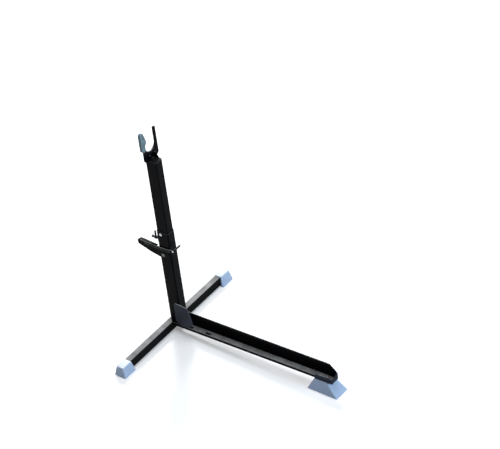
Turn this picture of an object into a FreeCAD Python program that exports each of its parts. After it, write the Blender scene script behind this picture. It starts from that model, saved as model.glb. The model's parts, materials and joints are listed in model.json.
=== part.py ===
import FreeCAD, Part
import math
import os

V = FreeCAD.Vector

# Floor bike rack, millimetres, +Z up, floor at z = 0. The rack is laid out with x = 0 on the
# crossbar's centre line and y = 0 on the rack's middle plane; +X runs along the wheel channel
# towards its front foot. Every piece is moved back by ORIGIN_X as it is saved, so that the
# saved origin lies on the floor under the middle of the rack's plan outline.
ORIGIN_X = 250.0

# crossbar, a rectangular tube lying across the rear
BAR_W = 20.0
BAR_BOTTOM = 3.0
BAR_TOP = 30.0
BAR_WALL = 1.8
BAR_HALF = 203.0
BAR_CORNER = 2.5

# feet at the crossbar's ends, hollow underneath, with a tongue inside the tube
FOOT_OUT = 244.5
FOOT_BACK = 198.0
FOOT_HALF_X = 19.5
FOOT_TOP_HALF_X = 11.5
FOOT_TOP_OUT = 240.0
FOOT_CORNER = 4.0
FOOT_TOP_BEVEL = 1.6
FOOT_WALL = 3.0
FOOT_ROOF = 4.0
FOOT_RIB = 2.0
RIB_RISE = 1.5
TONGUE_LENGTH = 28.0
TONGUE_GAP = 0.1
TONGUE_BEVEL = 0.8

# wheel channel: low lip, floor and tall guard wall in one folded sheet
SLOPE = math.radians(2.35)
SHEET = 2.0
CHANNEL_Z0 = 16.9
LIP_Y = -15.5
WALL_Y = 11.5
LIP_HEIGHT = 10.4
WALL_HEIGHT = 44.0
BEND_OUT = 3.0
BEND_IN = 1.0
CHANNEL_REAR = BAR_W / 2
CHANNEL_FRONT = 550.0
NOSE_LENGTH = 22.0
NOSE_HEIGHT = 24.0
SLOT_X = (61.5, 121.5)
SLOT_Y = -2.0
SLOT_LENGTH = 16.0
SLOT_WIDTH = 6.0

# end cap on the channel's lip and front end
CAP_REAR = 496.0
CAP_SKIN = 1.6
CAP_FRONT = CHANNEL_FRONT + 3.0
CAP_LIFT = 0.4
CAP_LOW = 12.0
CAP_HIGH = 22.0
CLIP_DEPTH = 4.0

# front foot under the channel, and its screws
FRONT_X = (472.0, 570.0)
FRONT_TOP_X = (494.0, 534.0)
FRONT_HALF_Y = 25.3
FRONT_TOP_HALF_Y = 17.3
FRONT_SCREW_X = (503.0, 525.0)
SCREW_SHANK_R = 1.85
SCREW_SHANK = 19.0
SCREW_HEAD_R = 4.2
SCREW_HEAD = 2.6
SCREW_POST_R = 5.0

# lower post, the outer tube of the telescope
POST_X = (2.0, 42.0)
POST_HALF_Y = 14.3
POST_WALL = 1.5
POST_TOP = 348.0
POST_CORNER = 4.0
COLLAR_HEIGHT = 3.0
RIVET_AT = (15.8, 340.0)
RIVET_R = 2.0
RIVET_HEAD_R = 4.4
RIVET_HEAD = 2.0
GUSSET_THICK = 3.0

# upper post, the inner tube
SLIDE_GAP = 0.05
UPPER_WALL = 1.5
UPPER_BOTTOM = 170.0
UPPER_TOP = 588.0
PLUG_FLANGE = 4.0
PLUG_DEPTH = 16.0
PLUG_WALL = 3.0
PLUG_GAP = 0.1
PLUG_CORNER = 0.9
STOP_AT = (8.5, 466.0)
STOP_R = 2.0
STOP_HEAD_R = 3.6
STOP_HEAD = 2.2
CAP_THICK = 3.0
CAP_DEPTH = 10.0
CAP_WALL = 2.0

# fork at the top of the upper post
FORK_X = (14.0, 18.0)
FORK_HALF = 29.0
FORK_BOTTOM = UPPER_TOP + CAP_THICK
FORK_TOP = 682.0
FORK_CORNERS = (9.0, 9.0, 4.5, 4.5)
NOTCH_R = 19.7
NOTCH_Z = 637.0
MOUTH_R = 3.0
RIB_Y = 9.0
RIB_THICK = 2.5
RIB_REACH = 15.0
RIB_HEIGHT = 21.0
SLEEVE_SIDE = 3.5

# clamping screw on the rear of the lower post
SCREW_Z = 310.0
SCREW_R = 3.0
SCREW_FIT = 0.06
BOSS_R = 7.0
BOSS_LENGTH = 6.0
HUB_X = (-20.0, -12.0)
HUB_R = 4.6
KNOB_X = (-29.0, -24.0)
KNOB_R = 4.0
HANDLE_R = 2.17
HANDLE_HOLE_R = 2.2
HANDLE_Z = (SCREW_Z - 6.0, SCREW_Z + 23.0)

# hand lever on the near side of the lower post
LEVER_PIVOT = (18.0, 273.0)
LEVER_SHEET = 2.0
LEVER_Y = -17.6
FLANGE_Y = -9.8
STUD_R = 4.0
STUD_FIT = 0.06
SHOULDER_R = 6.0
STUD_HEAD_R = 5.6
STUD_HEAD = 2.0
PIN_AT = (54.0, 298.5)
PIN_R = 3.0
PIN_FAR_Y = 14.0
PIN_HEAD_R = 4.4
PIN_HEAD = 1.5

os.makedirs("parts", exist_ok=True)


def box(x0, x1, y0, y1, z0, z1):
    return Part.makeBox(x1 - x0, y1 - y0, z1 - z0, V(x0, y0, z0))


def rod(radius, start, end):
    along = V(*end) - V(*start)
    return Part.makeCylinder(radius, along.Length, V(*start), along)


def loop(points, radii):
    """Closed wire through the points, each corner rounded to its own radius."""
    corners = [V(*p) for p in points]
    count = len(corners)
    if not isinstance(radii, (list, tuple)):
        radii = [radii] * count
    ends = []
    for i, corner in enumerate(corners):
        before = (corners[i - 1] - corner).normalize()
        after = (corners[(i + 1) % count] - corner).normalize()
        half = math.acos(max(-1.0, min(1.0, before.dot(after)))) / 2
        reach = radii[i] / math.tan(half)
        middle = (before + after).normalize()
        tip = corner + middle * (radii[i] / math.sin(half) - radii[i])
        ends.append((corner + before * reach, tip, corner + after * reach))
    edges = []
    for i, (first, tip, last) in enumerate(ends):
        if radii[i] > 0:
            edges.append(Part.Arc(first, tip, last).toShape())
        start = ends[(i + 1) % count][0]
        if (start - last).Length > 1e-6:
            edges.append(Part.makeLine(last, start))
    return Part.Wire(edges)


def prism(points, radii, along):
    return Part.Face(loop(points, radii)).extrude(V(*along))


def side_plate(outline, radii, y0, y1):
    """Plate cut to an outline in the XZ plane, from y0 to y1."""
    return prism([(x, y0, z) for x, z in outline], radii, (0, y1 - y0, 0))


def across_plate(outline, radii, x0, x1):
    """Plate cut to an outline in the YZ plane, from x0 to x1."""
    return prism([(x0, y, z) for y, z in outline], radii, (x1 - x0, 0, 0))


def upright_bar(x_range, half_y, z0, z1, radius):
    x0, x1 = x_range
    corners = [(x0, -half_y, z0), (x1, -half_y, z0), (x1, half_y, z0), (x0, half_y, z0)]
    return prism(corners, radius, (0, 0, z1 - z0))


def shrink(x_range, amount):
    return (x_range[0] + amount, x_range[1] - amount)


def frustum(low, high, z0, z1, radius):
    """Block that tapers from rectangle low at z0 to rectangle high at z1, its side edges rounded."""
    def ring(x0, x1, y0, y1, z):
        return [V(x0, y0, z), V(x1, y0, z), V(x1, y1, z), V(x0, y1, z)]

    bottom = ring(*low, z0)
    top = ring(*high, z1)
    faces = [bottom[::-1], top]
    for i in range(4):
        j = (i + 1) % 4
        faces.append([bottom[i], bottom[j], top[j], top[i]])
    shell = Part.makeShell([Part.Face(Part.makePolygon(f + [f[0]])) for f in faces])
    block = Part.makeSolid(shell)
    if not radius:
        return block
    sides = [e for e in block.Edges if e.BoundBox.ZMin < z0 + 0.01 and e.BoundBox.ZMax > z1 - 0.01]
    return block.makeFillet(radius, sides)


def channel_z(x):
    """Height of the wheel channel's underside above the floor."""
    return CHANNEL_Z0 + x * math.tan(SLOPE)


def bevel_edges(shape, size, wanted):
    return shape.makeChamfer(size, [edge for edge in shape.Edges if wanted(edge)])


def save(name, pieces):
    if not isinstance(pieces, (list, tuple)):
        pieces = [pieces]
    solids = []
    for piece in pieces:
        whole = piece.removeSplitter()
        whole.translate(V(-ORIGIN_X, 0, 0))
        solids.extend(whole.Solids)
    shape = solids[0] if len(solids) == 1 else Part.makeCompound(solids)
    shape.exportStep("parts/" + name + ".step")


# ---- crossbar ----
def bar_section(y, inset, radius):
    x = BAR_W / 2 - inset
    z0 = BAR_BOTTOM + inset
    z1 = BAR_TOP - inset
    return loop([(-x, y, z0), (x, y, z0), (x, y, z1), (-x, y, z1)], radius)


outer = Part.Face(bar_section(-BAR_HALF, 0, BAR_CORNER)).extrude(V(0, 2 * BAR_HALF, 0))
inner = Part.Face(bar_section(-BAR_HALF, BAR_WALL, BAR_CORNER - BAR_WALL))
save("crossbar_tube", outer.cut(inner.extrude(V(0, 2 * BAR_HALF, 0))))


# ---- feet at the crossbar's ends ----
def end_foot():
    low = (-FOOT_HALF_X, FOOT_HALF_X, FOOT_BACK, FOOT_OUT)
    high = (-FOOT_TOP_HALF_X, FOOT_TOP_HALF_X, BAR_HALF, FOOT_TOP_OUT)
    body = frustum(low, high, 0, BAR_TOP, FOOT_CORNER)
    body = bevel_edges(body, FOOT_TOP_BEVEL, lambda e: e.BoundBox.ZMin > BAR_TOP - 0.01)
    seat = BAR_W / 2 + TONGUE_GAP
    body = body.cut(box(-seat, seat, 0, BAR_HALF, BAR_BOTTOM, BAR_TOP + 1))
    side = FOOT_HALF_X - FOOT_WALL
    top_side = FOOT_TOP_HALF_X - FOOT_WALL
    low = (-side, side, BAR_HALF + FOOT_WALL, FOOT_OUT - FOOT_WALL)
    high = (-top_side, top_side, BAR_HALF + FOOT_WALL, FOOT_TOP_OUT - FOOT_WALL)
    hollow = frustum(low, high, -0.01, BAR_TOP - FOOT_ROOF, 0)
    middle = (BAR_HALF + FOOT_OUT) / 2
    half_rib = FOOT_RIB / 2
    ribs = box(-half_rib, half_rib, BAR_HALF, FOOT_OUT, RIB_RISE, BAR_TOP)
    across = box(-FOOT_HALF_X, FOOT_HALF_X, middle - half_rib, middle + half_rib, RIB_RISE, BAR_TOP)
    body = body.cut(hollow.cut(ribs.fuse(across)))
    tip = BAR_HALF - TONGUE_LENGTH
    tongue = Part.Face(bar_section(tip, BAR_WALL + TONGUE_GAP, 0)).extrude(V(0, TONGUE_LENGTH + 1, 0))
    tongue = bevel_edges(tongue, TONGUE_BEVEL, lambda e: e.BoundBox.YLength > TONGUE_LENGTH)
    pocket = box(-BAR_W / 4, BAR_W / 4, tip - 1, BAR_HALF - FOOT_WALL, BAR_BOTTOM + 5, BAR_TOP - 5)
    return body.fuse(tongue.cut(pocket))


foot = end_foot()
save("foot_far", foot)
save("foot_near", foot.mirror(V(0, 0, 0), V(0, 1, 0)))


# ---- wheel channel ----
def along_channel(x0, x1, section, radii):
    """Section (y, height above the channel's underside) run along the inclined channel."""
    points = [(x0, y, channel_z(x0) + h) for y, h in section]
    run = x1 - x0
    return prism(points, radii, (run, 0, run * math.tan(SLOPE)))


def slot_cutter(x):
    reach = (SLOT_LENGTH - SLOT_WIDTH) / 2
    half = SLOT_WIDTH / 2
    low = channel_z(x) - SHEET
    high = channel_z(x) + 2 * SHEET
    outline = [(x - reach - half, SLOT_Y - half, low), (x + reach + half, SLOT_Y - half, low),
               (x + reach + half, SLOT_Y + half, low), (x - reach - half, SLOT_Y + half, low)]
    return prism(outline, half - 0.01, (0, 0, high - low))


lip_in = LIP_Y + SHEET
wall_in = WALL_Y - SHEET


def wheel_channel():
    section = [(LIP_Y, 0), (WALL_Y, 0), (WALL_Y, WALL_HEIGHT), (wall_in, WALL_HEIGHT),
               (wall_in, SHEET), (lip_in, SHEET), (lip_in, LIP_HEIGHT), (LIP_Y, LIP_HEIGHT)]
    bends = [BEND_OUT, BEND_OUT, 0, 0, BEND_IN, BEND_IN, 0, 0]
    body = along_channel(CHANNEL_REAR, CHANNEL_FRONT, section, bends)
    body = body.cut(box(0, POST_X[1], 0, 2 * WALL_Y, BAR_TOP, BAR_TOP + 2 * WALL_HEIGHT))
    for x in SLOT_X:
        body = body.cut(slot_cutter(x))
    for x in FRONT_SCREW_X:
        body = body.cut(rod(SCREW_SHANK_R + 0.4, (x, SLOT_Y, 0), (x, SLOT_Y, 2 * WALL_HEIGHT)))
    corner = CHANNEL_FRONT - NOSE_LENGTH
    past = CHANNEL_FRONT + 1
    nose = side_plate([(corner, channel_z(corner) + WALL_HEIGHT + 1), (past, 3 * WALL_HEIGHT),
                       (past, channel_z(CHANNEL_FRONT) + NOSE_HEIGHT)], 0, 0, 2 * WALL_Y)
    return body.cut(nose)


save("wheel_channel", wheel_channel())


# ---- end cap on the channel's lip and front end ----
def channel_end_cap():
    outside = LIP_Y - CAP_SKIN
    top = LIP_HEIGHT + CAP_SKIN
    clip = [(outside, CAP_LIFT), (LIP_Y, CAP_LIFT), (LIP_Y, LIP_HEIGHT), (lip_in, LIP_HEIGHT),
            (lip_in, LIP_HEIGHT - CLIP_DEPTH), (lip_in + CAP_SKIN, LIP_HEIGHT - CLIP_DEPTH),
            (lip_in + CAP_SKIN, top), (outside, top)]
    closing = [(outside, CAP_LIFT), (WALL_Y, CAP_LIFT), (WALL_Y, CAP_HIGH),
               (lip_in + 2 * CLIP_DEPTH, CAP_LOW), (outside, CAP_LOW)]
    sleeve = along_channel(CAP_REAR, CHANNEL_FRONT, clip, 0)
    return sleeve.fuse(along_channel(CHANNEL_FRONT, CAP_FRONT, closing, 0))


save("channel_end_cap", channel_end_cap())


# ---- front foot, a hollow wedge under the channel ----
def front_foot():
    low = (*FRONT_X, -FRONT_HALF_Y, FRONT_HALF_Y)
    high = (*FRONT_TOP_X, -FRONT_TOP_HALF_Y, FRONT_TOP_HALF_Y)
    body = frustum(low, high, 0, channel_z(FRONT_TOP_X[1]), FOOT_CORNER)
    ends = (FRONT_X[0] - 50, FRONT_X[1] + 50)
    top = 3 * channel_z(ends[1])
    above = [(ends[0], channel_z(ends[0])), (ends[1], channel_z(ends[1])), (ends[1], top), (ends[0], top)]
    body = body.cut(side_plate(above, 0, -2 * FRONT_HALF_Y, 2 * FRONT_HALF_Y))
    side = FRONT_HALF_Y - FOOT_WALL
    top_side = FRONT_TOP_HALF_Y - FOOT_ROOF
    low = (*shrink(FRONT_X, FOOT_WALL), -side, side)
    high = (*shrink(FRONT_TOP_X, FOOT_ROOF), -top_side, top_side)
    hollow = frustum(low, high, -0.01, channel_z(FRONT_TOP_X[0]) - FOOT_ROOF, 0)
    half_rib = FOOT_RIB / 2
    kept = box(*FRONT_X, -half_rib, half_rib, FOOT_RIB, top)
    for x in FRONT_SCREW_X:
        kept = kept.fuse(rod(SCREW_POST_R, (x, SLOT_Y, 3 * FOOT_RIB), (x, SLOT_Y, top)))
        kept = kept.fuse(box(x - half_rib, x + half_rib, -FRONT_HALF_Y, FRONT_HALF_Y, FOOT_RIB, top))
    body = body.cut(hollow.cut(kept))
    for x in FRONT_SCREW_X:
        bottom = channel_z(x) - SCREW_SHANK - 1
        body = body.cut(rod(SCREW_SHANK_R + 0.05, (x, SLOT_Y, bottom), (x, SLOT_Y, top)))
    return body


save("foot_front", front_foot())


# ---- pan-head screws that hold the front foot, with a cross recess ----
def foot_screw(x):
    seat = channel_z(x) + SHEET + 0.2
    crown = seat + SCREW_HEAD
    shank = rod(SCREW_SHANK_R, (x, SLOT_Y, seat - SCREW_SHANK), (x, SLOT_Y, seat))
    head = rod(SCREW_HEAD_R, (x, SLOT_Y, seat), (x, SLOT_Y, crown))
    long_side = 0.6 * SCREW_HEAD_R
    short_side = 0.12 * SCREW_HEAD_R
    floor = seat + SCREW_HEAD / 2
    for half_x, half_y in ((long_side, short_side), (short_side, long_side)):
        head = head.cut(box(x - half_x, x + half_x, SLOT_Y - half_y, SLOT_Y + half_y, floor, crown + 1))
    return shank.fuse(head)


save("foot_front_screws", [foot_screw(x) for x in FRONT_SCREW_X])

# ---- lower post ----
bore_x = shrink(POST_X, POST_WALL)
bore_y = POST_HALF_Y - POST_WALL
bore_corner = POST_CORNER - POST_WALL
rivet_x, rivet_z = RIVET_AT
post = upright_bar(POST_X, POST_HALF_Y, BAR_TOP, POST_TOP, POST_CORNER)
post = post.cut(upright_bar(bore_x, bore_y, BAR_TOP - 1, POST_TOP + 1, bore_corner))
post = post.cut(rod(SCREW_R + 0.5, (POST_X[0] - 1, 0, SCREW_Z), (bore_x[0] + 1, 0, SCREW_Z)))
for side in (-1, 1):
    post = post.cut(rod(RIVET_R, (rivet_x, side * (bore_y - 1), rivet_z), (rivet_x, side * 20, rivet_z)))
save("lower_post", post)

collar_top = POST_TOP + COLLAR_HEIGHT
collar = upright_bar(POST_X, POST_HALF_Y, POST_TOP, collar_top, POST_CORNER)
save("post_collar", collar.cut(upright_bar(bore_x, bore_y, POST_TOP - 1, collar_top + 1, bore_corner)))


def collar_rivet(side):
    face = side * POST_HALF_Y
    shank = rod(RIVET_R, (rivet_x, side * bore_y, rivet_z), (rivet_x, face, rivet_z))
    outside = side * (POST_HALF_Y + RIVET_HEAD)
    return shank.fuse(rod(RIVET_HEAD_R, (rivet_x, face, rivet_z), (rivet_x, outside, rivet_z)))


save("collar_rivets", [collar_rivet(side) for side in (-1, 1)])

# ---- gusset plate between the lower post and the channel's lip ----
lip_at = channel_z(POST_X[1]) + LIP_HEIGHT
gusset_outline = [(25, 105), (70, 102), (79, 70), (83, 44), (58, lip_at + 0.9), (40, lip_at), (24, 42)]
gusset_corners = [6, 8, 20, 4, 10, 6, 6]
save("base_gusset", side_plate(gusset_outline, gusset_corners, -POST_HALF_Y - GUSSET_THICK, -POST_HALF_Y))

# ---- upper post with its stop button and end plug ----
upper_x = shrink(bore_x, SLIDE_GAP)
upper_y = bore_y - SLIDE_GAP
upper_corner = bore_corner - SLIDE_GAP
hollow_x = shrink(upper_x, UPPER_WALL)
hollow_y = upper_y - UPPER_WALL
stop_x, stop_z = STOP_AT
upper = upright_bar(upper_x, upper_y, UPPER_BOTTOM, UPPER_TOP, upper_corner)
upper = upper.cut(upright_bar(hollow_x, hollow_y, UPPER_BOTTOM - 1, UPPER_TOP + 1, PLUG_CORNER))
upper = upper.cut(rod(STOP_R, (stop_x, -upper_y - 1, stop_z), (stop_x, -hollow_y + 1, stop_z)))
save("upper_post", upper)

stop = rod(STOP_R, (stop_x, -upper_y, stop_z), (stop_x, -hollow_y, stop_z))
stop_head = rod(STOP_HEAD_R, (stop_x, -upper_y - STOP_HEAD, stop_z), (stop_x, -upper_y, stop_z))
save("stop_button", stop.fuse(stop_head))

plug_x = shrink(hollow_x, PLUG_GAP)
plug_y = hollow_y - PLUG_GAP
plug_top = UPPER_BOTTOM + PLUG_DEPTH
plug = upright_bar(upper_x, upper_y, UPPER_BOTTOM - PLUG_FLANGE, UPPER_BOTTOM, upper_corner)
plug = plug.fuse(upright_bar(plug_x, plug_y, UPPER_BOTTOM, plug_top, PLUG_CORNER))
well = upright_bar(shrink(plug_x, PLUG_WALL), plug_y - PLUG_WALL, UPPER_BOTTOM, plug_top + 1, 0)
save("post_plug", plug.cut(well))

# ---- cap and fork on the upper post ----
cap = upright_bar(upper_x, upper_y, UPPER_TOP, FORK_BOTTOM, upper_corner)
cap = cap.fuse(upright_bar(plug_x, plug_y, UPPER_TOP - CAP_DEPTH, UPPER_TOP, PLUG_CORNER))
well = upright_bar(shrink(plug_x, CAP_WALL), plug_y - CAP_WALL, UPPER_TOP - CAP_DEPTH - 1, UPPER_TOP - 1, 0)
save("post_cap", cap.cut(well))


def fork_prongs():
    """Plate with two prongs either side of the round-bottomed notch."""
    outline = [(-FORK_HALF, FORK_BOTTOM), (FORK_HALF, FORK_BOTTOM),
               (FORK_HALF, FORK_TOP), (-FORK_HALF, FORK_TOP)]
    plate = across_plate(outline, FORK_CORNERS, *FORK_X)
    past = (FORK_X[0] - 1, FORK_X[1] + 1)
    plate = plate.cut(rod(NOTCH_R, (past[0], 0, NOTCH_Z), (past[1], 0, NOTCH_Z)))
    return plate.cut(box(*past, -NOTCH_R, NOTCH_R, NOTCH_Z, FORK_TOP + 1))


def mouth_edge(edge):
    """The two edges at the prong tips, inside the notch."""
    bounds = edge.BoundBox
    flat = abs(bounds.YMax - bounds.YMin) < 0.1
    return bounds.ZMin > FORK_TOP - 0.1 and flat and abs(abs(bounds.YMin) - NOTCH_R) < 0.1


prongs = fork_prongs()
fork = prongs.makeFillet(MOUTH_R, [e for e in prongs.Edges if mouth_edge(e)])
for side in (-1, 1):
    rib = prism([(FORK_X[1], side * RIB_Y, FORK_BOTTOM), (FORK_X[1] + RIB_REACH, side * RIB_Y, FORK_BOTTOM),
                 (FORK_X[1], side * RIB_Y, FORK_BOTTOM + RIB_HEIGHT)], [0, 2, 2], (0, side * RIB_THICK, 0))
    fork = fork.fuse(rib)
save("fork_plate", fork)

# ---- soft sleeve on the fork's near prong ----
sleeve_outline = [(-36, 634), (-27, 628), (-19.9, 632), (-19.9, 645), (-11.5, 655),
                  (-17, 675), (-24, 690), (-36, 690)]
sleeve_corners = [5, 6, 3, 8, 5, 20, 6, 6]
sleeve = across_plate(sleeve_outline, sleeve_corners, FORK_X[0] - SLEEVE_SIDE, FORK_X[1] + SLEEVE_SIDE)
save("prong_sleeve", sleeve.cut(prongs))

# ---- clamping screw, its boss and its handle ----
boss = rod(BOSS_R, (POST_X[0] - BOSS_LENGTH, 0, SCREW_Z), (POST_X[0], 0, SCREW_Z))
save("screw_boss", boss.cut(rod(SCREW_R + SCREW_FIT, (HUB_X[0], 0, SCREW_Z), (bore_x[0], 0, SCREW_Z))))

hub_mid = sum(HUB_X) / 2
screw = rod(SCREW_R, (KNOB_X[0], 0, SCREW_Z), (upper_x[0] - 0.35, 0, SCREW_Z))
screw = screw.fuse(rod(HUB_R, (HUB_X[0], 0, SCREW_Z), (HUB_X[1], 0, SCREW_Z)))
screw = screw.fuse(rod(KNOB_R, (KNOB_X[0], 0, SCREW_Z), (KNOB_X[1], 0, SCREW_Z)))
save("clamp_screw", screw.cut(rod(HANDLE_HOLE_R, (hub_mid, 0, SCREW_Z - 10), (hub_mid, 0, SCREW_Z + 10))))
save("clamp_handle", rod(HANDLE_R, (hub_mid, 0, HANDLE_Z[0]), (hub_mid, 0, HANDLE_Z[1])))


# ---- hand lever: pressed handle and strap in one, on the post's near side ----
def hand_lever():
    t = LEVER_SHEET
    web_in = LEVER_Y + t
    outline = [(-68, 281), (-70, 293), (-60, 299.5), (-4, 296.5), (30, 298.5), (54, 304.5), (62, 299),
               (57, 292), (33, 287), (28, 265), (4, 262.5), (-30, 269)]
    corners = [4, 4, 5, 30, 40, 5, 5, 4, 8, 8, 10, 30]
    web = side_plate(outline, corners, LEVER_Y, web_in)
    handle = [(-68, 281), (-70, 293), (-60, 299.5), (-4, 296.5), (-4, 264), (-30, 269)]
    shell = side_plate(handle, [4, 4, 5, 0, 0, 30], web_in, FLANGE_Y)
    cavity = [(-66, 283.5), (-67.5, 292.5), (-59.5, 297.3), (0, 294.5), (0, 250), (-40, 250), (-48, 277)]
    shell = shell.cut(side_plate(cavity, [3, 3, 4, 0, 0, 0, 0], web_in, FLANGE_Y + 1))
    pivot_x, pivot_z = LEVER_PIVOT
    pin_x, pin_z = PIN_AT
    body = web.fuse(shell)
    body = body.cut(rod(STUD_R + STUD_FIT, (pivot_x, LEVER_Y - 1, pivot_z), (pivot_x, web_in + 1, pivot_z)))
    return body.cut(rod(PIN_R, (pin_x, LEVER_Y - 1, pin_z), (pin_x, web_in + 1, pin_z)))


save("hand_lever", hand_lever())

pin_x, pin_z = PIN_AT
pin = rod(PIN_R, (pin_x, LEVER_Y, pin_z), (pin_x, PIN_FAR_Y, pin_z))
pin_head = rod(PIN_HEAD_R, (pin_x, LEVER_Y - PIN_HEAD, pin_z), (pin_x, LEVER_Y, pin_z))
save("lever_cross_pin", pin.fuse(pin_head))

# ---- shouldered stud that the lever turns on ----
stud_x, stud_z = LEVER_PIVOT
head_y = LEVER_Y - 0.4
shoulder_y = LEVER_Y + LEVER_SHEET + 0.3
stud = rod(STUD_R, (stud_x, -POST_HALF_Y, stud_z), (stud_x, head_y, stud_z))
stud = stud.fuse(rod(SHOULDER_R, (stud_x, -POST_HALF_Y, stud_z), (stud_x, shoulder_y, stud_z)))
stud_head = rod(STUD_HEAD_R, (stud_x, head_y, stud_z), (stud_x, head_y - STUD_HEAD, stud_z))
save("lever_stud", stud.fuse(stud_head))
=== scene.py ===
import json
import math

import bmesh
import bpy
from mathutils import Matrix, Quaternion, Vector


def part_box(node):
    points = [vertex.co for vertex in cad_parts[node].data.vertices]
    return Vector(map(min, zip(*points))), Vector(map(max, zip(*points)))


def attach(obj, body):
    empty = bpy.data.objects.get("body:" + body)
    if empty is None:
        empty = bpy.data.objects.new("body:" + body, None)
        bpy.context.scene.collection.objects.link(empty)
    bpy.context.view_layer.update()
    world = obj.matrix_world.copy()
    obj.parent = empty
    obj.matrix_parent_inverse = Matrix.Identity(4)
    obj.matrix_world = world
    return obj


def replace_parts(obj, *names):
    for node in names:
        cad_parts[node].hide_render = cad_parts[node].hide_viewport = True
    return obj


# Looks for the floor bike rack, in metres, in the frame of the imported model: floor at z = 0,
# +X along the wheel channel towards its front foot, +Z up along the post.
MM = 0.001

# The floor lies this far below the feet, so that no two faces coincide.
FLOOR_GAP = 0.5 * MM

# The photograph is 500 pixels wide. Its camera's direction, roll, focal length, distance and
# the point that it looks at were fitted to the rack's edges.
PHOTO_WIDTH_PX = 500
FOCAL_PX = 3000
SENSOR_MM = 36.0
VIEW_AZIMUTH = math.radians(41.73)
VIEW_ELEVATION = math.radians(38.24)
VIEW_ROLL = math.radians(-8.0)
VIEW_DISTANCE = 8.298
VIEW_AIM = Vector((-0.1697, 0.2773, 0.1948))

# The channel's folded sheet rises towards the front foot. Its two slots lie this far from its rear.
CHANNEL_SLOPE = math.radians(2.35)
CHANNEL_SHEET = 2.0 * MM
SLOTS_FROM_REAR = {"rear": 51.5 * MM, "front": 111.5 * MM}
SLOT_MIDDLE_Y = -2.0 * MM

# How far a rivet's shank reaches into its hole, and how far seams stop short of rounded corners.
SHANK_LENGTH = 1.5 * MM
CORNER = 3.5 * MM

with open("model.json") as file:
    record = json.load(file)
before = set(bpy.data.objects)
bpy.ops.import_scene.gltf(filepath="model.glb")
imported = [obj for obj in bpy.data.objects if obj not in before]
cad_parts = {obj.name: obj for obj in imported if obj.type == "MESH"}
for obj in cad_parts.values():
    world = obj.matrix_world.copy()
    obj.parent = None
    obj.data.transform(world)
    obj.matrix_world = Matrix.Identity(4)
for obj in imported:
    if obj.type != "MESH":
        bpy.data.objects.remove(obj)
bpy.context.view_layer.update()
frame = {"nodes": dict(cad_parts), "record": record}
nodes = frame["nodes"]


# ---- camera ----
def add_camera():
    flat = math.cos(VIEW_ELEVATION)
    back = Vector((math.sin(VIEW_AZIMUTH) * flat,
                   -math.cos(VIEW_AZIMUTH) * flat,
                   math.sin(VIEW_ELEVATION)))
    turn = back.to_track_quat("Z", "Y") @ Quaternion((0, 0, 1), VIEW_ROLL)
    data = bpy.data.cameras.new("camera")
    data.sensor_width = SENSOR_MM
    data.lens = FOCAL_PX * SENSOR_MM / PHOTO_WIDTH_PX
    data.clip_end = 50
    camera = bpy.data.objects.new("camera", data)
    camera.rotation_euler = turn.to_euler()
    camera.location = VIEW_AIM + back * VIEW_DISTANCE
    bpy.context.collection.objects.link(camera)
    bpy.context.scene.camera = camera


# ---- light, background and floor ----
def area_lamp(name, place, aim, size, power, colour=(1, 1, 1)):
    data = bpy.data.lights.new(name, "AREA")
    data.shape = "DISK"
    data.size = size
    data.energy = power
    data.color = colour
    lamp = bpy.data.objects.new(name, data)
    lamp.location = place
    lamp.rotation_euler = (Vector(place) - Vector(aim)).to_track_quat("Z", "Y").to_euler()
    bpy.context.collection.objects.link(lamp)


def seen_directly(tree):
    """1 for camera, glossy and transmission rays, so that gloss shows the white background too."""
    path = tree.nodes.new("ShaderNodeLightPath")
    highest = path.outputs["Is Camera Ray"]
    for name in ("Is Glossy Ray", "Is Transmission Ray"):
        either = tree.nodes.new("ShaderNodeMath")
        either.operation = "MAXIMUM"
        tree.links.new(highest, either.inputs[0])
        tree.links.new(path.outputs[name], either.inputs[1])
        highest = either.outputs[0]
    return highest


def add_light():
    scene = bpy.context.scene
    scene.view_settings.view_transform = "Standard"
    world = bpy.data.worlds.new("studio")
    scene.world = world
    world.use_nodes = True
    tree = world.node_tree
    plain = tree.nodes["Background"]
    plain.inputs["Color"].default_value = (0.86, 0.92, 1.0, 1)
    plain.inputs["Strength"].default_value = 0.12
    white = tree.nodes.new("ShaderNodeBackground")
    white.inputs["Color"].default_value = (1, 1, 1, 1)
    white.inputs["Strength"].default_value = 1.0
    mix = tree.nodes.new("ShaderNodeMixShader")
    tree.links.new(seen_directly(tree), mix.inputs[0])
    tree.links.new(plain.outputs[0], mix.inputs[1])
    tree.links.new(white.outputs[0], mix.inputs[2])
    tree.links.new(mix.outputs[0], tree.nodes["World Output"].inputs["Surface"])
    middle = (-0.05, 0, 0.2)
    area_lamp("key", (-0.3, 0.3, 3.2), middle, 1.8, 52)
    area_lamp("back", (-1.78, 1.94, 2.15), middle, 0.9, 75)
    area_lamp("side", (3.0, 0.2, 1.1), middle, 1.2, 68, (0.7, 0.87, 1.0))


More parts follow.
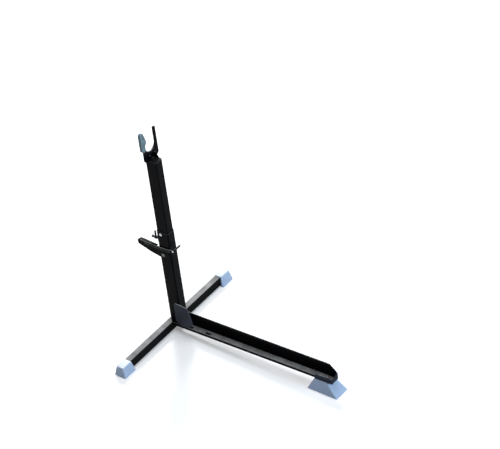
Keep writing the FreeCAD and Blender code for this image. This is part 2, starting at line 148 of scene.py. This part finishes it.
def add_floor():
    """Plain pale floor that keeps the shadow and turns to white away from the rack."""
    mesh = bmesh.new()
    bmesh.ops.create_circle(mesh, cap_ends=True, segments=96, radius=6.0)
    data = bpy.data.meshes.new("floor")
    mesh.to_mesh(data)
    mesh.free()
    floor = bpy.data.objects.new("floor", data)
    floor.location.z = -FLOOR_GAP
    bpy.context.collection.objects.link(floor)
    material, tree, shader = new_material("floor_white")
    shader.inputs["Base Color"].default_value = (0.84, 0.84, 0.85, 1)
    shader.inputs["Roughness"].default_value = 0.9
    lit = tree.nodes.new("ShaderNodeEmission")
    lit.inputs["Color"].default_value = (1, 1, 1, 1)
    away = tree.nodes.new("ShaderNodeVectorMath")
    away.operation = "LENGTH"
    tree.links.new(tree.nodes.new("ShaderNodeTexCoord").outputs["Object"], away.inputs[0])
    whitening = spread(tree, away.outputs["Value"], 0.25, 0.85, 0.8, 3.0)
    tree.links.new(whitening, lit.inputs["Strength"])
    both = tree.nodes.new("ShaderNodeAddShader")
    mix = tree.nodes.new("ShaderNodeMixShader")
    tree.links.new(shader.outputs[0], both.inputs[0])
    tree.links.new(lit.outputs[0], both.inputs[1])
    tree.links.new(seen_directly(tree), mix.inputs[0])
    tree.links.new(shader.outputs[0], mix.inputs[1])
    tree.links.new(both.outputs[0], mix.inputs[2])
    tree.links.new(mix.outputs[0], tree.nodes["Material Output"].inputs["Surface"])
    floor.data.materials.append(material)


# ---- material building blocks ----
def new_material(name):
    material = bpy.data.materials.new(name)
    material.use_nodes = True
    tree = material.node_tree
    return material, tree, tree.nodes["Principled BSDF"]


def noise(tree, scale, detail=4.0, stretch=(1, 1, 1)):
    """Noise fixed to the object, in cycles per metre, stretched along the larger factors."""
    place = tree.nodes.new("ShaderNodeMapping")
    place.inputs["Scale"].default_value = [1.0 / s for s in stretch]
    tree.links.new(tree.nodes.new("ShaderNodeTexCoord").outputs["Object"], place.inputs["Vector"])
    texture = tree.nodes.new("ShaderNodeTexNoise")
    texture.inputs["Scale"].default_value = scale
    texture.inputs["Detail"].default_value = detail
    tree.links.new(place.outputs["Vector"], texture.inputs["Vector"])
    return texture.outputs["Fac"]


def ramp(tree, source, stops):
    """Colour ramp from (place, colour) stops."""
    node = tree.nodes.new("ShaderNodeValToRGB")
    elements = node.color_ramp.elements
    while len(elements) < len(stops):
        elements.new(0.5)
    for element, (place, colour) in zip(elements, stops):
        element.position = place
        element.color = (*colour, 1)
    tree.links.new(source, node.inputs["Fac"])
    return node.outputs["Color"]


def spread(tree, source, low, high, start=0.3, end=0.7):
    node = tree.nodes.new("ShaderNodeMapRange")
    node.inputs["From Min"].default_value = start
    node.inputs["From Max"].default_value = end
    node.inputs["To Min"].default_value = low
    node.inputs["To Max"].default_value = high
    tree.links.new(source, node.inputs["Value"])
    return node.outputs["Result"]


def product(tree, first, second):
    node = tree.nodes.new("ShaderNodeMath")
    node.operation = "MULTIPLY"
    tree.links.new(first, node.inputs[0])
    tree.links.new(second, node.inputs[1])
    return node.outputs[0]


def mix_colour(tree, amount, first, second):
    node = tree.nodes.new("ShaderNodeMix")
    node.data_type = "RGBA"
    tree.links.new(amount, node.inputs[0])
    for socket, value in ((node.inputs[6], first), (node.inputs[7], second)):
        if isinstance(value, tuple):
            socket.default_value = (*value, 1)
        else:
            tree.links.new(value, socket)
    return node.outputs[2]


def bump(tree, shader, height, strength, distance):
    node = tree.nodes.new("ShaderNodeBump")
    node.inputs["Strength"].default_value = strength
    node.inputs["Distance"].default_value = distance
    tree.links.new(height, node.inputs["Height"])
    tree.links.new(node.outputs["Normal"], shader.inputs["Normal"])


def worn_edges(tree, width, low, high):
    """1 near sharp edges, where the rounded normal leaves the flat one, broken up by noise."""
    rounded = tree.nodes.new("ShaderNodeBevel")
    rounded.inputs["Radius"].default_value = width
    flat = tree.nodes.new("ShaderNodeNewGeometry").outputs["Normal"]
    dot = tree.nodes.new("ShaderNodeVectorMath")
    dot.operation = "DOT_PRODUCT"
    tree.links.new(rounded.outputs["Normal"], dot.inputs[0])
    tree.links.new(flat, dot.inputs[1])
    edge = spread(tree, dot.outputs["Value"], 1.0, 0.0, 0.8, 0.98)
    return product(tree, edge, spread(tree, noise(tree, 120, 5), 0.0, 1.0, low, high))


def dust_and_painted_lit_top(tree, body, dust_and_lit_top):
    """Pale colour on the surfaces that face up, in uneven patches: partly dust, partly painted light on
    the lit tops.
    """
    parts = tree.nodes.new("ShaderNodeSeparateXYZ")
    tree.links.new(tree.nodes.new("ShaderNodeNewGeometry").outputs["Normal"], parts.inputs[0])
    facing_up = spread(tree, parts.outputs["Z"], 0.0, 1.0, 0.7, 0.98)
    patches = spread(tree, noise(tree, 55, 6, (2, 2, 1)), 0.45, 1.0)
    return mix_colour(tree, product(tree, facing_up, patches), body, dust_and_lit_top)


# ---- materials ----
def coated_metal(name, colour, worn, rough, gloss):
    """Powder-coated steel: fine orange peel, upper faces paler with dust and painted light, coat rubbed
    along the edges.
    """
    material, tree, shader = new_material(name)
    cloudy = tuple(c * 1.5 + 0.001 for c in colour)
    body = ramp(tree, noise(tree, 16, 5), [(0.4, colour), (0.8, cloudy)])
    # Upper faces are painted paler: some dust, and painted light where the lamps fall on the tops.
    body = dust_and_painted_lit_top(tree, body, tuple(c + 0.3 for c in colour))
    paint = mix_colour(tree, worn_edges(tree, 1.2 * MM, 0.45, 0.75), body, worn)
    tree.links.new(paint, shader.inputs["Base Color"])
    sheen = spread(tree, noise(tree, 40, 4), rough - 0.05, rough + 0.07)
    tree.links.new(sheen, shader.inputs["Roughness"])
    shader.inputs["Specular IOR Level"].default_value = gloss
    bump(tree, shader, noise(tree, 900, 2), 0.2, 0.2 * MM)
    return material


def rubbed_metal(name, colour, bare, rough):
    """Thin black coat that hands have rubbed through in streaks along the handle."""
    material, tree, shader = new_material(name)
    streaks = spread(tree, noise(tree, 260, 6, (9, 1, 1)), 0.0, 0.75, 0.48, 0.8)
    body = mix_colour(tree, streaks, colour, bare)
    # Upper faces take the bare colour: some dust, and painted light on the lit tops.
    body = dust_and_painted_lit_top(tree, body, bare)
    edge = tuple(min(0.8, 9 * c) for c in bare)
    paint = mix_colour(tree, worn_edges(tree, 1.0 * MM, 0.3, 0.6), body, edge)
    tree.links.new(paint, shader.inputs["Base Color"])
    sheen = spread(tree, noise(tree, 90, 4), rough - 0.08, rough + 0.1)
    tree.links.new(sheen, shader.inputs["Roughness"])
    shader.inputs["Specular IOR Level"].default_value = 0.02
    bump(tree, shader, noise(tree, 500, 3, (6, 1, 1)), 0.3, 0.15 * MM)
    return material


def moulded_plastic(name, colour, rough, gloss, painted_lit_top):
    """Moulded plastic: fine grain, a cloudy tone, scuffed edges and upper faces painted paler, as dust
    and as painted light on the lit tops.
    """
    material, tree, shader = new_material(name)
    darker = tuple(c * 0.88 for c in colour)
    scuffed = tuple(min(1.0, c * 1.15 + 0.01) for c in colour)
    body = ramp(tree, noise(tree, 26, 4), [(0.3, darker), (0.7, colour)])
    marks = spread(tree, noise(tree, 420, 3, (1, 5, 1)), 0.0, 0.3, 0.6, 0.8)
    body = mix_colour(tree, marks, body, darker)
    # Upper faces take the painted lit-top colour, with dust in patches.
    body = dust_and_painted_lit_top(tree, body, painted_lit_top)
    paint = mix_colour(tree, worn_edges(tree, 1.6 * MM, 0.3, 0.7), body, scuffed)
    tree.links.new(paint, shader.inputs["Base Color"])
    sheen = spread(tree, noise(tree, 60, 4), rough - 0.05, rough + 0.08)
    tree.links.new(sheen, shader.inputs["Roughness"])
    shader.inputs["Specular IOR Level"].default_value = gloss
    bump(tree, shader, noise(tree, 1400, 2), 0.2, 0.15 * MM)
    return material


def plated_steel(name, colour, rough):
    """Zinc-plated steel with a fine grain and a faint mottle."""
    material, tree, shader = new_material(name)
    dull = tuple(c * 0.7 for c in colour)
    mottle = ramp(tree, noise(tree, 300, 5), [(0.3, dull), (0.7, colour)])
    tree.links.new(mottle, shader.inputs["Base Color"])
    shader.inputs["Metallic"].default_value = 1.0
    sheen = spread(tree, noise(tree, 500, 3), rough - 0.08, rough + 0.1)
    tree.links.new(sheen, shader.inputs["Roughness"])
    bump(tree, shader, noise(tree, 2500, 2), 0.15, 0.05 * MM)
    return material


def soft_rubber(name, colour):
    """Grey-teal rubber: matt, with pores, a chalky bloom and edges painted paler as a highlight."""
    material, tree, shader = new_material(name)
    pale = tuple(min(1.0, c * 1.9 + 0.03) for c in colour)
    deep = tuple(c * 0.72 for c in colour)
    body = ramp(tree, noise(tree, 70, 6), [(0.3, deep), (0.55, colour), (0.85, pale)])
    # Edges turn pale: a painted highlight along them, broken up by noise.
    paint = mix_colour(tree, worn_edges(tree, 2.5 * MM, 0.3, 0.6), body, pale)
    tree.links.new(paint, shader.inputs["Base Color"])
    tree.links.new(spread(tree, noise(tree, 200, 3), 0.6, 0.8), shader.inputs["Roughness"])
    bump(tree, shader, noise(tree, 1100, 3), 0.35, 0.25 * MM)
    return material


def make_finishes():
    bare = (0.11, 0.11, 0.112)
    dark_worn = (0.02, 0.02, 0.021)
    black = coated_metal("black_powder_coat", (0.0015, 0.0015, 0.002), dark_worn, 0.27, 0.022)
    # The gusset's coat is paler than the tube's: its raised blue-grey colour paints a satin sheen.
    blue_grey = coated_metal("blue_grey_coat_painted_sheen", (0.024, 0.028, 0.041), bare, 0.5, 0.15)
    lever = rubbed_metal("lever_coat", (0.002, 0.002, 0.002), (0.014, 0.014, 0.013), 0.42)
    # Pale copy of the lever's coat for its beads: a painted highlight along the lever's top.
    lever_painted_highlight = rubbed_metal("lever_painted_highlight", (0.13, 0.13, 0.128), (0.75, 0.75, 0.73), 0.4)
    black_steel = coated_metal("black_steel", (0.004, 0.004, 0.004), bare, 0.34, 0.1)
    zinc = plated_steel("zinc_steel", (0.6, 0.6, 0.62), 0.34)
    dulled_zinc = plated_steel("dulled_zinc", (0.13, 0.13, 0.135), 0.45)
    # The last colour of each plastic paints its lit upper faces paler.
    pale = moulded_plastic("pale_plastic", (0.35, 0.445, 0.62), 0.5, 0.4, (0.86, 0.93, 0.95))
    blue_black = moulded_plastic("blue_black_plastic", (0.003, 0.006, 0.015), 0.45, 0.08,
                                 (0.01, 0.02, 0.04))
    plain_black = moulded_plastic("black_plastic", (0.004, 0.004, 0.004), 0.5, 0.1,
                                  (0.006, 0.006, 0.006))
    return {
        "black_paint": black,
        "blue_grey_paint": blue_grey,
        "lever_paint": lever,
        "lever_painted_highlight": lever_painted_highlight,
        "black_steel": black_steel,
        "zinc_steel": zinc,
        "dulled_zinc": dulled_zinc,
        "pale_plastic": pale,
        "blue_black_plastic": blue_black,
        "black_plastic": plain_black,
        "teal_rubber": soft_rubber("teal_rubber", (0.1, 0.155, 0.185)),
    }


def paint_nodes():
    """Each CAD node takes the material of its slot in the record."""
    for part in frame["record"]["subparts"]:
        data = nodes[part["node"]].data
        data.materials.clear()
        data.materials.append(finishes[part["material_slot"]])


# ---- shared mesh builders ----
def add_piece(name, mesh, body, slot, finish=None):
    """Turns a bmesh into a piece that rides on a body, with its slot's finish or a special one."""
    data = bpy.data.meshes.new(name)
    bmesh.ops.recalc_face_normals(mesh, faces=mesh.faces)
    mesh.to_mesh(data)
    mesh.free()
    for face in data.polygons:
        face.use_smooth = True
    piece = bpy.data.objects.new(name, data)
    bpy.context.collection.objects.link(piece)
    piece.data.materials.append(finishes[finish or slot])
    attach(piece, body)
    return piece


def soften(names, width, segments=2):
    """Rounds the sharp edges of CAD nodes with a bevel modifier."""
    for name in names:
        weld = nodes[name].modifiers.new("weld", "WELD")
        weld.merge_threshold = 0.005 * MM
        bevel = nodes[name].modifiers.new("round", "BEVEL")
        bevel.width = width
        bevel.segments = segments
        bevel.limit_method = "ANGLE"
        bevel.angle_limit = math.radians(40)
        bevel.harden_normals = True


def add_ring(mesh, centre, side, other, radii):
    """Ring of evenly turned vertices round a centre, one at each of the radii."""
    ring = []
    for i, radius in enumerate(radii):
        angle = 2 * math.pi * i / len(radii)
        around = side * math.cos(angle) + other * math.sin(angle)
        ring.append(mesh.verts.new(centre + around * radius))
    return ring


def join_rings(mesh, rings):
    """Closed skin over a row of rings, with a face on each end."""
    for low, high in zip(rings[:-1], rings[1:]):
        count = len(low)
        for i in range(count):
            j = (i + 1) % count
            mesh.faces.new((low[i], low[j], high[j], high[i]))
    mesh.faces.new(rings[0])
    mesh.faces.new(rings[-1])


def stack_rings(mesh, origin, axis, profile):
    """Solid along an axis from (station, radii round the ring) pairs."""
    axis = Vector(axis).normalized()
    side = axis.orthogonal().normalized()
    other = axis.cross(side)
    rings = []
    for station, radii in profile:
        rings.append(add_ring(mesh, Vector(origin) + axis * station, side, other, radii))
    join_rings(mesh, rings)


def lathe(mesh, origin, axis, profile, segments):
    """Turned solid from (station along the axis, radius) pairs, two at one station for a step."""
    stack_rings(mesh, origin, axis, [(station, [radius] * segments) for station, radius in profile])


def domed_head(mesh, seat, axis, head_r, head_h, shank_length, crown):
    """Rivet: a shank below the seat and a head whose crown rounds in from a low rim."""
    shank_r = 2 * MM
    steps = 8
    rim = head_h * (1 - crown)
    profile = [(-shank_length, shank_r), (0, shank_r), (0, head_r), (rim, head_r)]
    for i in range(1, steps):
        angle = math.pi / 2 * i / steps
        profile.append((rim + head_h * crown * math.sin(angle), head_r * math.cos(angle)))
    profile.append((head_h, head_r * 0.05))
    lathe(mesh, seat, axis, profile, 40)


def weld_bead(name, start, end, radius, body):
    """Welded seam between two points: overlapping ripples in a low rounded ridge."""
    start = Vector(start)
    run = Vector(end) - start
    ripple = 2.2 * MM
    per_ripple = 6
    count = max(2, round(run.length / ripple)) * per_ripple
    profile = []
    for i in range(count + 1):
        station = run.length * i / count
        phase = (station / ripple) % 1.0
        end_fade = min(1.0, station / radius + 0.25, (run.length - station) / radius + 0.25)
        wander = 0.08 * math.sin(37 * station / ripple)
        swell = 0.82 + 0.18 * math.sin(math.pi * phase) + wander
        profile.append((station, radius * end_fade * swell))
    mesh = bmesh.new()
    lathe(mesh, start, run, profile, 12)
    add_piece(name, mesh, body, "black_paint")


# ---- welded seams ----
def add_post_welds():
    """Three seams where the lower post stands on the crossbar."""
    _, bar_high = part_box("crossbar_tube")
    low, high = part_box("lower_post")
    radius = 1.3 * MM
    z = bar_high.z
    weld_bead("weld_post_rear", (low.x, low.y + CORNER, z), (low.x, high.y - CORNER, z), radius, "base")
    for name, y in (("near", low.y), ("far", high.y)):
        weld_bead("weld_post_" + name, (low.x + CORNER, y, z), (bar_high.x, y, z), radius, "base")


def add_channel_welds():
    """Seams where the channel's rear end meets the crossbar: up the lip and under the floor."""
    _, bar_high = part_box("crossbar_tube")
    low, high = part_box("wheel_channel")
    radius = 1.3 * MM
    x = bar_high.x + 0.3 * MM
    lip_from = low.z + 2.5 * MM
    lip_to = low.z + 10 * MM
    under_z = low.z + 0.4 * MM
    weld_bead("weld_channel_lip", (x, low.y, lip_from), (x, low.y, lip_to), radius, "base")
    weld_bead("weld_channel_under", (x, low.y + CORNER, under_z), (x, high.y - CORNER, under_z),
              radius, "base")


def add_gusset_welds():
    """Seams up the gusset's rear edge and along its top, on the post's near face."""
    _, post_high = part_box("lower_post")
    low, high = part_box("base_gusset")
    radius = 1.0 * MM
    y = high.y - 0.2 * MM
    rear_from = (low.x + 0.6 * MM, y, low.z + 22 * MM)
    rear_to = (low.x + 1.2 * MM, y, high.z - 8 * MM)
    top_from = (low.x + 8 * MM, y, high.z - 0.6 * MM)
    top_to = (post_high.x - CORNER, y, high.z - 1.6 * MM)
    weld_bead("weld_gusset_rear", rear_from, rear_to, radius, "base")
    weld_bead("weld_gusset_top", top_from, top_to, radius, "base")


def add_fork_welds():
    """Seams across the post's cap, behind and in front of the fork plate."""
    cap_low, cap_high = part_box("post_cap")
    fork_low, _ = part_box("fork_plate")
    plate = 4 * MM
    radius = 1.1 * MM
    z = cap_high.z + 0.2 * MM
    for name, x in (("rear", fork_low.x), ("front", fork_low.x + plate)):
        weld_bead("weld_fork_" + name, (x, cap_low.y + CORNER, z), (x, cap_high.y - CORNER, z),
                  radius, "upper")


# ---- fasteners ----
def add_collar_rivets():
    low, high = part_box("collar_rivets")
    post_low, post_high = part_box("lower_post")
    middle = (low + high) / 2
    head_r = (high.z - low.z) / 2
    mesh = bmesh.new()
    for face, end, side in ((post_low.y, low.y, -1), (post_high.y, high.y, 1)):
        seat = (middle.x, face, middle.z)
        domed_head(mesh, seat, (0, side, 0), head_r, abs(end - face), SHANK_LENGTH, 0.8)
    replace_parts(add_piece("rivets_domed", mesh, "base", "zinc_steel"), "collar_rivets")


def add_stop_button():
    low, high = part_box("stop_button")
    post_low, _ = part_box("upper_post")
    middle = (low + high) / 2
    head_r = (high.z - low.z) / 2
    seat = (middle.x, post_low.y, middle.z)
    mesh = bmesh.new()
    domed_head(mesh, seat, (0, -1, 0), head_r, post_low.y - low.y, SHANK_LENGTH, 0.9)
    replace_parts(add_piece("stop_button_domed", mesh, "upper", "black_plastic"), "stop_button")


def add_lever_stud():
    """Shouldered pivot stud with a riveted-over head."""
    low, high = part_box("lever_stud")
    lever_low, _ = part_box("hand_lever")
    middle = (low + high) / 2
    shoulder_r = 6.0 * MM
    stud_r = 4.0 * MM
    head_r = 5.6 * MM
    shoulder = lever_low.y + 2.3 * MM
    seat = lever_low.y - 0.4 * MM
    profile = [(high.y, shoulder_r), (shoulder, shoulder_r), (shoulder, stud_r), (seat, stud_r),
               (seat, head_r), (seat - 0.9 * MM, head_r), (seat - 1.5 * MM, 4.9 * MM),
               (seat - 1.9 * MM, 3.4 * MM), (low.y, 1.6 * MM), (low.y + 0.5 * MM, 0.9 * MM)]
    mesh = bmesh.new()
    lathe(mesh, (middle.x, 0, middle.z), (0, 1, 0), profile, 48)
    stud = add_piece("lever_stud_riveted", mesh, "base", "zinc_steel", finish="dulled_zinc")
    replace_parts(stud, "lever_stud")


def add_cross_pin():
    """Blackened pin with a rounded far end, and the bright head riveted over on the strap."""
    low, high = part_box("lever_cross_pin")
    lever_low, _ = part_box("hand_lever")
    middle = (low + high) / 2
    seat = (middle.x, lever_low.y, middle.z)
    rod_r = 3.0 * MM
    end_round = 1.5 * MM
    length = high.y - lever_low.y
    steps = 6
    profile = [(0.0, rod_r)]
    for i in range(steps, -1, -1):
        left = i / steps
        fall = end_round * (1 - math.sqrt(1 - (1 - left) ** 2))
        profile.append((length - end_round * left, rod_r - fall))
    mesh = bmesh.new()
    lathe(mesh, seat, (0, 1, 0), profile, 36)
    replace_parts(add_piece("cross_pin_rod", mesh, "lever", "black_steel"), "lever_cross_pin")
    head_r = (high.z - low.z) / 2 * 0.7
    mesh = bmesh.new()
    domed_head(mesh, seat, (0, -1, 0), head_r, lever_low.y - low.y, 0.5 * MM, 0.8)
    add_piece("cross_pin_head", mesh, "lever", "zinc_steel")


def add_clamp_screw():
    """Clamping screw: knurled knob, smooth hub for the handle and a helical thread into the boss."""
    low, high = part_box("clamp_screw")
    handle_low, handle_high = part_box("clamp_handle")
    handle = (handle_low + handle_high) / 2
    length = high.x - low.x
    knob_end = 5 * MM
    knob_r = 4.0 * MM
    knurls = 18
    knurl_depth = 0.28 * MM
    hub_start = handle.x - low.x - 4 * MM
    hub_end = handle.x - low.x + 4 * MM
    hub_r = 4.6 * MM
    pitch = 1.0 * MM
    root_r = 2.55 * MM
    thread_depth = 0.45 * MM
    neck_r = 2.7 * MM

    def broken_edge(depth, start, station, end):
        """How far an end's edge is rounded in, over its last millimetre."""
        return depth * max(0.0, 1.0 - min(station - start, end - station) / MM) ** 2

    def radius_at(station, angle):
        if station < knob_end:
            rim = knob_r - broken_edge(0.5 * MM, 0, station, knob_end)
            return rim - knurl_depth * (0.5 + 0.5 * math.cos(knurls * angle))
        if hub_start < station < hub_end:
            return hub_r - broken_edge(0.6 * MM, hub_start, station, hub_end)
        if station >= hub_end + 0.5 * MM:
            phase = (station / pitch - angle / (2 * math.pi)) % 1.0
            return root_r + thread_depth * (1 - abs(2 * phase - 1))
        return neck_r

    per_pitch = 8
    count = round(length / (pitch / per_pitch))
    segments = 54
    angles = [2 * math.pi * i / segments for i in range(segments)]
    profile = []
    for i in range(count + 1):
        station = length * i / count
        profile.append((station, [radius_at(station, angle) for angle in angles]))
    mesh = bmesh.new()
    stack_rings(mesh, (low.x, handle.y, (low.z + high.z) / 2), (1, 0, 0), profile)
    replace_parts(add_piece("clamp_screw_threaded", mesh, "clamp", "black_steel"), "clamp_screw")


def add_clamp_handle():
    """Handle rod with rounded ends, waisted in the screw's hub and thicker where it is gripped."""
    low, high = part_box("clamp_handle")
    screw_low, screw_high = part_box("clamp_screw")
    middle = (low + high) / 2
    hub = (screw_low.z + screw_high.z) / 2 - low.z
    length = high.z - low.z
    rod_r = (high.x - low.x) / 2
    grip = 1.26
    waist_depth = 0.32
    waist_length = 2.6 * rod_r
    count = 40
    profile = []
    for i in range(count + 1):
        station = length * (1 - math.cos(math.pi * i / count)) / 2
        edge = min(1.0, min(station, length - station) / rod_r)
        rounded = math.sqrt(max(0.02, 1 - (1 - edge) ** 2))
        waist = math.exp(-((station - hub) / waist_length) ** 2)
        profile.append((station, rod_r * rounded * (grip - waist_depth * waist)))
    mesh = bmesh.new()
    lathe(mesh, (middle.x, middle.y, low.z), (0, 0, 1), profile, 32)
    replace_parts(add_piece("clamp_handle_rounded", mesh, "clamp", "black_steel"), "clamp_handle")


# ---- oblong black plugs that close the two slots in the channel's floor, as painted shade ----
def oblong(mesh, middle, along, across, half_length, half_width, height):
    """Ring of a slot-shaped outline, raised by height above its plane."""
    up = along.cross(across)
    straight = half_length - half_width
    segments = 32
    ring = []
    for i in range(segments):
        angle = 2 * math.pi * (i + 0.5) / segments
        push = straight if math.cos(angle) > 0 else -straight
        place = along * (push + half_width * math.cos(angle)) + across * half_width * math.sin(angle)
        ring.append(mesh.verts.new(middle + place + up * height))
    return ring


def add_slot_shade_plugs():
    # The black plugs are painted shade: they darken the slots where shade lies under the channel.
    low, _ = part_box("wheel_channel")
    along = Vector((math.cos(CHANNEL_SLOPE), 0, math.sin(CHANNEL_SLOPE)))
    across = Vector((0, 1, 0))
    # Half length, half width and height above the floor, in millimetres, from the stem up.
    layers = ((7.7, 2.7, -1.9), (7.7, 2.7, 0.05), (9.0, 3.9, 0.05), (9.0, 3.9, 0.45),
              (8.6, 3.5, 0.85), (7.6, 2.5, 1.0), (7.0, 1.9, 0.7))
    for name, from_rear in SLOTS_FROM_REAR.items():
        floor_z = low.z + from_rear * math.tan(CHANNEL_SLOPE) + CHANNEL_SHEET
        middle = Vector((low.x + from_rear, SLOT_MIDDLE_Y, floor_z))
        mesh = bmesh.new()
        rings = [oblong(mesh, middle, along, across, a * MM, b * MM, h * MM) for a, b, h in layers]
        join_rings(mesh, rings)
        add_piece("slot_shade_plug_" + name, mesh, "base", "black_plastic")


# ---- rubber sleeve on the near prong ----
def relaxed_copy(source, voxel, rounds):
    """Mesh of a CAD node, remeshed finely and relaxed, so that every edge is round."""
    soft = bpy.data.objects.new("sleeve_work", source.data.copy())
    bpy.context.collection.objects.link(soft)
    remesh = soft.modifiers.new("remesh", "REMESH")
    remesh.mode = "VOXEL"
    remesh.voxel_size = voxel
    relax = soft.modifiers.new("relax", "SMOOTH")
    relax.factor = 0.5
    relax.iterations = rounds
    depsgraph = bpy.context.evaluated_depsgraph_get()
    data = bpy.data.meshes.new_from_object(soft.evaluated_get(depsgraph))
    bpy.data.objects.remove(soft)
    mesh = bmesh.new()
    mesh.from_mesh(data)
    bpy.data.meshes.remove(data)
    return mesh


def add_sleeve():
    """Soft sleeve, thinner than its solid over the plate's faces and towards the notch."""
    mesh = relaxed_copy(nodes["prong_sleeve"], 0.7 * MM, 9)
    low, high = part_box("prong_sleeve")
    middle_x = (low.x + high.x) / 2
    plate_low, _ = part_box("fork_plate")
    prong_middle = plate_low.y + 5 * MM
    notch_wall = plate_low.y + 12.8 * MM
    thickness_share = 0.76
    taken_off = 2.0 * MM
    for vert in mesh.verts:
        vert.co.x = middle_x + (vert.co.x - middle_x) * thickness_share
        share = (vert.co.y - prong_middle) / (notch_wall - prong_middle)
        vert.co.y -= taken_off * max(0.0, min(1.0, share))
    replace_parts(add_piece("sleeve_soft", mesh, "upper", "teal_rubber"), "prong_sleeve")


# ---- rolled edge and bead pressed along the lever's strap ----
def smooth_path(corners, spacing, reach):
    """Points along straight runs between the corners, averaged over a reach to bend softly."""
    dense = []
    for start, end in zip(corners[:-1], corners[1:]):
        steps = max(1, round((end - start).length / spacing))
        dense += [start.lerp(end, i / steps) for i in range(steps)]
    dense.append(corners[-1])
    path = []
    for i in range(len(dense)):
        span = min(i, len(dense) - 1 - i, reach)
        near = dense[i - span:i + span + 1]
        path.append(sum(near, Vector()) / len(near))
    return path


def sweep(mesh, path, across, radius_at):
    """Round bead along a path square to the across direction; radius_at(share of the path)."""
    segments = 16
    last = len(path) - 1
    rings = []
    for i, centre in enumerate(path):
        along = (path[min(i + 1, last)] - path[max(i - 1, 0)]).normalized()
        side = along.cross(across)
        rings.append(add_ring(mesh, centre, side, across, [radius_at(i / last)] * segments))
    join_rings(mesh, rings)


def add_lever_beads():
    low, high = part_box("hand_lever")
    across = Vector((0, 1, 0))
    y = low.y + 0.35 * MM
    # In millimetres: the path's corners, forward of the lever's tip and down from its top, then
    # the bead's radius along the strap and at the tip.
    beads = {
        "lever_edge_roll": (((9, 7.0), (66, 9.5), (100, 7.6), (121, 2.4)), 1.2, 1.9),
        "lever_bead_low": (((22, 13.5), (66, 15.5), (100, 13.6), (114, 11.4)), 0.8, 0.8),
    }
    for name, (corners, thick, tip_thick) in beads.items():
        places = [Vector((low.x + x * MM, y, high.z - down * MM)) for x, down in corners]
        path = smooth_path(places, 1.0 * MM, 9)

        def radius_at(share):
            fade = min(1.0, 0.2 + 25 * min(share, 1 - share))
            tip = max(0.0, 1 - share / 0.09)
            return MM * (thick + (tip_thick - thick) * min(1.0, 2 * tip)) * fade

        mesh = bmesh.new()
        sweep(mesh, path, across, radius_at)
        # The beads take the pale copy of the lever's coat, a painted highlight along the lever's top.
        add_piece(name, mesh, "lever", "lever_paint", finish="lever_painted_highlight")


add_camera()
add_light()
add_floor()
finishes = make_finishes()
paint_nodes()
soften(["foot_near", "foot_far", "foot_front"], 1.0 * MM, 3)
soften(["channel_end_cap", "post_collar", "post_cap"], 0.4 * MM)
soften(["wheel_channel", "base_gusset", "fork_plate", "hand_lever"], 0.35 * MM)
add_post_welds()
add_channel_welds()
add_gusset_welds()
add_fork_welds()
add_collar_rivets()
add_stop_button()
add_lever_stud()
add_cross_pin()
add_slot_shade_plugs()
add_clamp_screw()
add_clamp_handle()
add_sleeve()
add_lever_beads()
